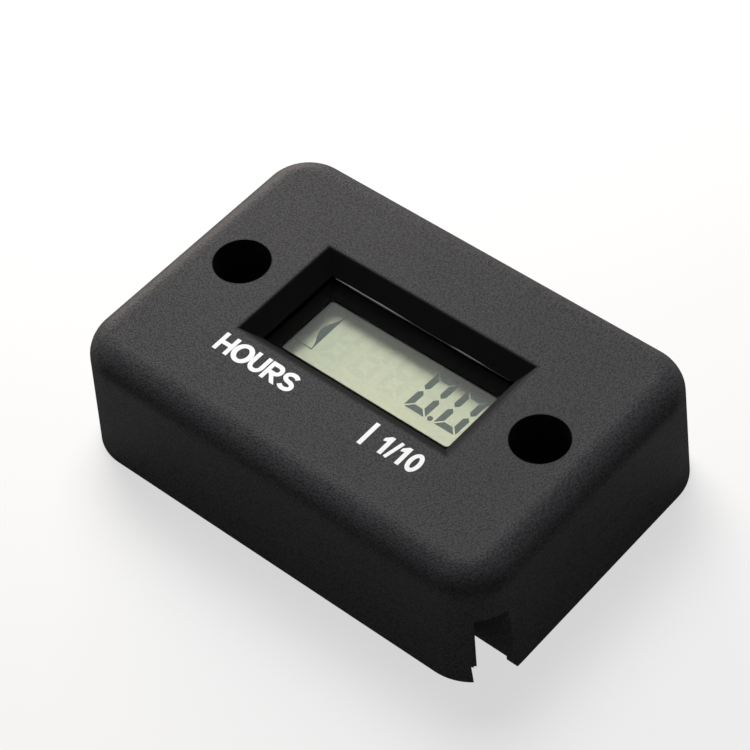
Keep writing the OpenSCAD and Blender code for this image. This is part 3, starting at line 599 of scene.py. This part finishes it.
def whole_oval(middle_x, middle_y, half_x, half_y):
    return oval(middle_x, middle_y, half_x, half_y, start=0, end=360, steps=24)[:-1]


def ring(outer, inner):
    """The patch between two closed lines with as many points each."""
    return [[outer[i - 1], outer[i], inner[i], inner[i - 1]] for i in range(len(outer))]


def finished_piece(work, name, material):
    """The worked mesh as a piece that is fixed to the case."""
    bmesh.ops.recalc_face_normals(work, faces=work.faces)
    mesh = bpy.data.meshes.new(name)
    work.to_mesh(mesh)
    work.free()
    mesh.materials.append(material)
    piece = bpy.data.objects.new(name, mesh)
    bpy.context.scene.collection.objects.link(piece)
    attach(piece, "root")
    return piece


def flat_piece(name, patches, low, high, material):
    """A thin piece from one level to another. Each of its patches is a list of closed outlines that join
    along whole sides, and has walls only round its edge."""
    work = bmesh.new()
    for patch in patches:
        points = dict.fromkeys(point for outline in patch for point in outline)
        corners = {(x, y): work.verts.new((x * MM, y * MM, low * MM)) for x, y in points}
        faces = [work.faces.new([corners[point] for point in outline]) for outline in patch]
        raised = bmesh.ops.extrude_face_region(work, geom=faces)
        moved = [v for v in raised["geom"] if isinstance(v, bmesh.types.BMVert)]
        bmesh.ops.translate(work, vec=(0, 0, (high - low) * MM), verts=moved)
    return finished_piece(work, name, material)


def loft(name, rings, material):
    """A closed piece through rings of points, each with the same number of points."""
    work = bmesh.new()
    loops = [[work.verts.new((x * MM, y * MM, z * MM)) for x, y, z in points] for points in rings]
    work.faces.new(reversed(loops[0]))
    work.faces.new(loops[-1])
    for below, above in zip(loops, loops[1:]):
        for i in range(len(below)):
            j = (i + 1) % len(below)
            work.faces.new((below[i], below[j], above[j], above[i]))
    return finished_piece(work, name, material)


def display_cell(material):
    """The polariser and the two glass plates as the one clear block that they are bonded into. Each is
    ground a little smaller than the one behind it. The block reaches a little way into the film behind it,
    so that no air shows there."""
    sunk = 0.05
    ground = 0.02
    levels = [
        ("display_rear_glass", REAR_GLASS_LOW_Z - sunk, PLATES_Z),
        ("display_front_glass", PLATES_Z, POLARISER_LOW_Z),
        ("front_polariser", POLARISER_LOW_Z, DISPLAY_TOP_Z),
    ]
    rings = []
    for step, (node, low, high) in enumerate(levels):
        near, far = (Vector(corner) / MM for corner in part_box(node))
        inset = step * ground
        plan = rectangle(near.x + inset, near.y + inset, far.x - inset, far.y - inset)
        rings += [[(x, y, level) for x, y in plan] for level in (low, high)]
    piece = loft("display_cell", rings, material)
    piece.visible_shadow = False
    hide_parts("front_polariser", "display_front_glass", "display_rear_glass")


def adhesive_bead(material):
    """The adhesive that the pane has pressed out along the back foot of the window's sink: an uneven thin
    line that catches the light."""
    widths = [0.1, 0.15, 0.14, 0.16, 0.13, 0.08, 0.07, 0.07, 0.15, 0.12, 0.06, 0.03]
    end_gap = 0.5
    sunk = 0.05
    back_y = FACE_MIDDLE_Y + WINDOW_DEPTH / 2
    length = WINDOW_LENGTH - 2 * end_gap
    rings = []
    for i, width in enumerate(widths):
        x = length * (i / (len(widths) - 1) - 1 / 2)
        back = [(back_y + sunk, PANE_TOP_Z), (back_y + sunk, PANE_TOP_Z + width)]
        front = oval(back_y, PANE_TOP_Z, width, width, start=90, end=180, steps=6)
        rings.append([(x, y, z) for y, z in back + front])
    loft("adhesive_bead", rings, material)


# Marks of the liquid crystal, in millimetres on the plane between the two glass plates

DIGIT_LOW_Y = -1.03
DIGIT_HEIGHT = 5.4
DIGIT_WIDTH = 2.75
DIGIT_PITCH = 3.8
LAST_DIGIT_X = 7.05
DIGIT_COUNT = 5
LIT_DIGITS = 2
SEGMENT = 0.75
SEGMENT_GAP = 0.18
DIGIT_LEAN = 0.23
MARK_THICKNESS = 0.02


def turned_over(outline):
    """A segment's outline as it is at the other end of the digit."""
    return [(x, DIGIT_HEIGHT - y) for x, y in reversed(outline)]


def digit_segments(left):
    """The outlines of one digit's seven segments, by name."""
    width, half = DIGIT_WIDTH, DIGIT_HEIGHT / 2
    corner = SEGMENT_GAP / math.sqrt(2)
    tip = SEGMENT / 2
    inner_left, inner_right = SEGMENT + corner, width - SEGMENT - corner
    bottom = [(inner_left, SEGMENT), (inner_right, SEGMENT), (width - corner, 0), (corner, 0)]
    left_low = [(0, corner), (SEGMENT, SEGMENT + corner), (SEGMENT, half - corner - tip),
                (tip, half - corner), (0, half - corner - tip)]
    right_low = [(width - x, y) for x, y in reversed(left_low)]
    middle = [(tip + corner, half), (inner_left, half + tip), (inner_right, half + tip),
              (width - tip - corner, half), (inner_right, half - tip), (inner_left, half - tip)]
    outlines = {
        "top": turned_over(bottom),
        "bottom": bottom,
        "left_low": left_low,
        "left_high": turned_over(left_low),
        "right_low": right_low,
        "right_high": turned_over(right_low),
        "middle": middle,
    }
    slant = DIGIT_LEAN / DIGIT_HEIGHT
    return {name: [(left + x + y * slant, DIGIT_LOW_Y + y) for x, y in outline]
            for name, outline in outlines.items()}


def hourglass():
    """A thin frame, and in it two dark fillings that swell towards the waist like bells and leave the shape
    of the hourglass between them."""
    left, right, low, high = -11.1, -8.8, -1.08, 4.33
    line = 0.13
    waist_gap = 0.17
    shoulder = 0.35
    steps = 20
    bell = 1.7
    frame_lines = (rectangle(left + inset, low + inset, right - inset, high - inset) for inset in (0, line))
    axis = (left + right) / 2
    wall = right - line
    depth = wall - waist_gap - axis
    foot, head = low + shoulder, high - shoulder
    right_fill = [(wall, head), (wall, foot)]
    for i in range(1, steps):
        swell = depth * math.sin(math.pi * i / steps) ** bell
        right_fill.append((wall - swell, foot + (head - foot) * i / steps))
    left_fill = [(2 * axis - x, y) for x, y in reversed(right_fill)]
    return [ring(*frame_lines), [right_fill], [left_fill]]


def display_marks():
    """Lit and unlit segments of the five digits, the point before the tenths, and the hourglass."""
    point_x, point_rise, point_radius = 6.52, 0.25, 0.31
    lit, unlit = [], []
    for place in range(DIGIT_COUNT):
        segments = digit_segments(LAST_DIGIT_X - place * DIGIT_PITCH)
        for name, outline in segments.items():
            shown = place < LIT_DIGITS and name != "middle"
            (lit if shown else unlit).append([outline])
    lit.append([whole_oval(point_x, DIGIT_LOW_Y + point_rise, point_radius, point_radius)])
    low = PLATES_Z - MARK_THICKNESS / 2
    high = low + MARK_THICKNESS
    dark = dark_crystal()
    marks = [
        flat_piece("lit_segments", lit, low, high, dark),
        flat_piece("unlit_segments", unlit, low, high, clear_electrode()),
        flat_piece("hourglass_sign", hourglass(), low, high, dark),
    ]
    for mark in marks:
        mark.visible_shadow = False


# Printed legends on the face, in millimetres

LETTER_STROKE = 0.49
INK_THICKNESS = 0.012


def stroke(points, width=LETTER_STROKE):
    """A stroke of even width along a path, with mitred joints: one patch, with a four sided outline for each
    straight stretch."""
    path = [Vector(point) for point in points]
    steps = [(end - start).normalized() for start, end in zip(path, path[1:])]
    sides = []
    for here, before, after in zip(path, steps[:1] + steps, steps + steps[-1:]):
        across = Vector((-before.y, before.x))
        mitre = (across + Vector((-after.y, after.x))).normalized()
        reach = mitre * (width / 2 / mitre.dot(across))
        sides.append((tuple(here + reach), tuple(here - reach)))
    return [[[near[1], far[1], far[0], near[0]] for near, far in zip(sides, sides[1:])]]


def stem(left, low, high):
    """An upright stroke."""
    middle = left + LETTER_STROKE / 2
    return stroke([(middle, low), (middle, high)])


def letter_h(left, width, low, high):
    right = left + width
    middle = (low + high) / 2
    bar = stroke([(left + LETTER_STROKE, middle), (right - LETTER_STROKE, middle)])
    return stem(left, low, high) + stem(right - LETTER_STROKE, low, high) + bar


def letter_o(left, width, low, high, sides):
    """A round letter or nought, whose upright sides may be bolder than its top and foot."""
    middle_x, middle_y = left + width / 2, (low + high) / 2
    reach_x, reach_y = width / 2, (high - low) / 2
    outer = whole_oval(middle_x, middle_y, reach_x, reach_y)
    inner = whole_oval(middle_x, middle_y, reach_x - sides, reach_y - LETTER_STROKE)
    return [ring(outer, inner)]


def letter_u(left, width, low, high):
    half = LETTER_STROKE / 2
    reach = width / 2 - half
    foot = oval(left + width / 2, low + half + reach, reach, reach, start=180, end=360, steps=12)
    return stroke([(left + half, high)] + foot + [(left + width - half, high)])


def letter_r(left, width, low, high):
    """A stem, a round bowl, and a straight leg from the bowl's foot."""
    waist_share = 0.46
    bowl_inset = 0.12
    leg_width = 1.2 * LETTER_STROKE
    knee_shift = 0.15
    half = LETTER_STROKE / 2
    right, stem_right = left + width, left + LETTER_STROKE
    waist = low + waist_share * (high - low)
    bow = (high - half - waist) / 2
    bow_x = right - half - bow - bowl_inset
    bowl = oval(bow_x, waist + bow, bow, bow, start=90, end=-90, steps=10)
    knee_x, knee_y = bow_x + knee_shift, waist - half
    bow_line = [(stem_right, high - half)] + bowl + [(stem_right, waist)]
    leg = [(right - leg_width, low), (right, low), (knee_x, knee_y), (knee_x - leg_width, knee_y)]
    return stem(left, low, high) + stroke(bow_line) + [[leg]]


def letter_s(left, width, low, high):
    """Two bows whose tips open by the same angle."""
    tip_angle = 25
    half = LETTER_STROKE / 2
    middle = left + width / 2
    reach_x = width / 2 - half
    reach_y = (high - low - LETTER_STROKE) / 4
    upper = oval(middle, high - half - reach_y, reach_x, reach_y, start=tip_angle, end=270, steps=14)
    lower = oval(middle, low + half + reach_y, reach_x, reach_y, start=90, end=tip_angle - 180, steps=14)
    return stroke(upper + lower[1:])


def figure_one(left, width, low, high):
    """A stem, and a flag that falls to the left from its head."""
    flag_width = 0.8 * LETTER_STROKE
    flag_tip = high - 0.5
    flag_root = high - 0.75
    right = left + width
    stem_left = right - LETTER_STROKE
    return [[[(stem_left, low), (right, low), (right, high), (right - flag_width, high),
              (left, flag_tip), (left, flag_tip - flag_width), (stem_left, flag_root)]]]


def hour_legends(ink):
    """The unit of the reading: hours, with the last digit in tenths of an hour."""
    low, high = -9.67, -7.27
    round_low, round_high = low - 0.06, high + 0.06
    hours = (letter_h(left=-13.85, width=1.89, low=low, high=high)
             + letter_o(left=-11.93, width=2.38, low=round_low, high=round_high, sides=0.6)
             + letter_u(left=-9.55, width=1.8, low=low, high=high)
             + letter_r(left=-7.6, width=1.95, low=low, high=high)
             + letter_s(left=-5.62, width=1.84, low=low, high=high))

    bar = [[rectangle(left=5.5, low=-10.21, right=6.0, high=-7.15)]]

    low, high = -9.96, -7.6
    round_low, round_high = low - 0.03, high + 0.03
    slash_foot, slash_head = (8.76, low), (9.26, high)
    tenths = (figure_one(left=7.4, width=0.92, low=low, high=high)
              + stroke([slash_foot, slash_head], width=0.4)
              + figure_one(left=9.55, width=0.92, low=low, high=high)
              + letter_o(left=10.82, width=1.52, low=round_low, high=round_high, sides=0.48))

    for name, legend in (("hours_legend", hours), ("legend_bar", bar), ("tenths_legend", tenths)):
        flat_piece(name, legend, FACE_Z, FACE_Z + INK_THICKNESS, ink)


# Floor, light and camera

def pale_floor():
    """A plain white paper floor. It throws a low even light back on the meter's sides, and the camera,
    glossy and clear surfaces see it white, with the meter's shadow."""
    half_m = 2.0
    bounce_strength = 0.32
    glow_share = 0.65
    mesh = bpy.data.meshes.new("floor")
    corners = [(x, y, 0) for x, y in rectangle(-half_m, -half_m, half_m, half_m)]
    mesh.from_pydata(corners, [], [(0, 1, 2, 3)])
    piece = bpy.data.objects.new("floor", mesh)
    bpy.context.scene.collection.objects.link(piece)
    material, tree = new_material("white_paper")
    white = add(tree, "ShaderNodeBsdfDiffuse", {"Color": linear("#f6f6f6")})
    bounce = add(tree, "ShaderNodeEmission", {"Color": linear("#ffffff"), "Strength": bounce_strength})
    lit = add(tree, "ShaderNodeMixShader", {}, {0: add_seen_rays(tree), 1: bounce, 2: white})
    glow = add(tree, "ShaderNodeEmission", {"Color": linear("#ffffff"), "Strength": 1.0})
    ray = add(tree, "ShaderNodeLightPath")
    share = add(tree, "ShaderNodeMath", {"operation": "MULTIPLY", 1: glow_share},
                {0: ray.outputs["Is Camera Ray"]})
    mix = add(tree, "ShaderNodeMixShader", {}, {0: share, 1: lit, 2: glow})
    add(tree, "ShaderNodeOutputMaterial", {}, {0: mix})
    mesh.materials.append(material)


def add_seen_rays(tree):
    """1 for rays that show the background: from the camera, off a gloss and through something clear."""
    ray = add(tree, "ShaderNodeLightPath")
    straight = add(tree, "ShaderNodeMath", {"operation": "MAXIMUM"},
                   {0: ray.outputs["Is Camera Ray"], 1: ray.outputs["Is Glossy Ray"]})
    return add(tree, "ShaderNodeMath", {"operation": "MAXIMUM"},
               {0: straight, 1: ray.outputs["Is Transmission Ray"]}).outputs[0]


def studio_world(strength):
    """A faint even light, behind which the camera, glossy and clear surfaces see white."""
    world = bpy.data.worlds.new("studio")
    bpy.context.scene.world = world
    world.use_nodes = True
    tree = world.node_tree
    tree.nodes.clear()
    fill = add(tree, "ShaderNodeBackground", {"Color": linear("#ffffff"), "Strength": strength})
    white = add(tree, "ShaderNodeBackground", {"Color": linear("#ffffff"), "Strength": 1.0})
    mix = add(tree, "ShaderNodeMixShader", {}, {0: add_seen_rays(tree), 1: fill, 2: white})
    add(tree, "ShaderNodeOutputWorld", {}, {0: mix})


def soft_box(name, azimuth, elevation, distance, size, power, colour="#ffffff"):
    """A square soft box that faces the meter, with its angles in degrees, its distance and size in metres
    and its power in watts. Azimuth 0 is in front of the meter, on the side of the legends."""
    lamp = bpy.data.lights.new(name, "AREA")
    lamp.shape = "SQUARE"
    lamp.size = size
    lamp.energy = power
    lamp.color = linear(colour)[:3]
    holder = bpy.data.objects.new(name, lamp)
    bpy.context.scene.collection.objects.link(holder)
    a, e = math.radians(azimuth), math.radians(elevation)
    away = Vector((math.sin(a) * math.cos(e), -math.cos(a) * math.cos(e), math.sin(e)))
    holder.location = away * distance
    holder.rotation_euler = away.to_track_quat("Z", "Y").to_euler()
    return holder


def keep_out_of_mirror(lamps, pieces):
    """Keep the lamps' own images out of clear pieces, as a polariser on the lens does."""
    group = bpy.data.collections.new("pieces_without_lamp_image")
    for piece in pieces:
        group.objects.link(piece)
    for member in group.collection_objects:
        member.light_linking.link_state = "EXCLUDE"
    for lamp in lamps:
        lamp.light_linking.receiver_collection = group


def camera():
    """The photo's view, worked out from the meter's three sizes: its angles in radians, its distance and
    shift in millimetres and its lens in pixels."""
    azimuth, elevation, roll = 0.78421, 0.85951, -0.10423
    distance = 267.155
    shift_right, shift_up = 1.135, -2.559
    focal_pixels = 2665.79
    image_pixels = 750
    middle_height = 7.5
    toward = Vector((math.sin(azimuth) * math.cos(elevation), -math.cos(azimuth) * math.cos(elevation),
                     math.sin(elevation)))
    level = Vector((math.cos(azimuth), math.sin(azimuth), 0))
    above = toward.cross(level)
    right = math.cos(roll) * level + math.sin(roll) * above
    up = math.cos(roll) * above - math.sin(roll) * level
    data = bpy.data.cameras.new("camera")
    data.sensor_width = 36
    data.lens = focal_pixels * data.sensor_width / image_pixels
    data.clip_start = 0.01
    data.clip_end = 10
    holder = bpy.data.objects.new("camera", data)
    bpy.context.scene.collection.objects.link(holder)
    spot = Vector((0, 0, middle_height)) + toward * distance - right * shift_right - up * shift_up
    turn = Matrix((right, up, toward)).transposed()
    holder.matrix_world = Matrix.Translation(spot * MM) @ turn.to_4x4()
    bpy.context.scene.camera = holder


def wear(material, *names):
    """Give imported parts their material."""
    for name in names:
        mesh = nodes[name].data
        mesh.materials.clear()
        mesh.materials.append(material)


wear(pebbled_abs(), "case_shell")
wear(satin_abs(), "back_cover")
wear(polished_abs(), "display_bezel")
wear(cast_acrylic(), "clear_window")
wear(polariser_film(), "front_polariser")
wear(silvered_film(), "rear_reflector")
glass = bonded_display_glass()
wear(glass, "display_front_glass", "display_rear_glass")
adhesive = clear_adhesive()
wear(adhesive, "window_seal")
wear(layered_silicone(), "contact_strip_back", "contact_strip_front")
wear(solder_mask_board(), "circuit_board")
wear(cast_epoxy(), "controller_resin")
wear(moulded_epoxy(), "input_diodes")
wear(fired_ceramic(), "ceramic_capacitors")
wear(glazed_resistor(), "chip_resistors")
wear(drawn_aluminium(), "storage_capacitor")
wear(nickel_plated_steel("nickel_can", "#b4b4b0", "#c6c5bf", low_rough=0.22, high_rough=0.36),
     "timing_crystal", "coin_cell")
wear(nickel_plated_steel("nickel_strip", "#c2c1ba", "#d2d0c8", low_rough=0.3, high_rough=0.46),
     "cell_tab_negative", "cell_tab_positive")
wear(zinc_plated_steel(), "board_screws", "cover_screws")
wear(turned_brass(), "pickup_terminal")
wear(moulded_rubber(), "cable_grommet", "cover_seal", "tube_seals")
nodes["clear_window"].visible_shadow = False

display_cell(glass)
adhesive_bead(adhesive)
display_marks()
hour_legends(pad_ink())

pale_floor()
key = soft_box("key_soft_box", azimuth=225, elevation=59, distance=0.3, size=0.17, power=0.8)
rim = soft_box("rim_soft_box", azimuth=238, elevation=16, distance=0.3, size=0.2, power=0.98,
               colour="#fff0e2")
keep_out_of_mirror((key, rim), [nodes["clear_window"]])
studio_world(strength=0.02)
camera()
bpy.context.scene.view_settings.view_transform = "Standard"
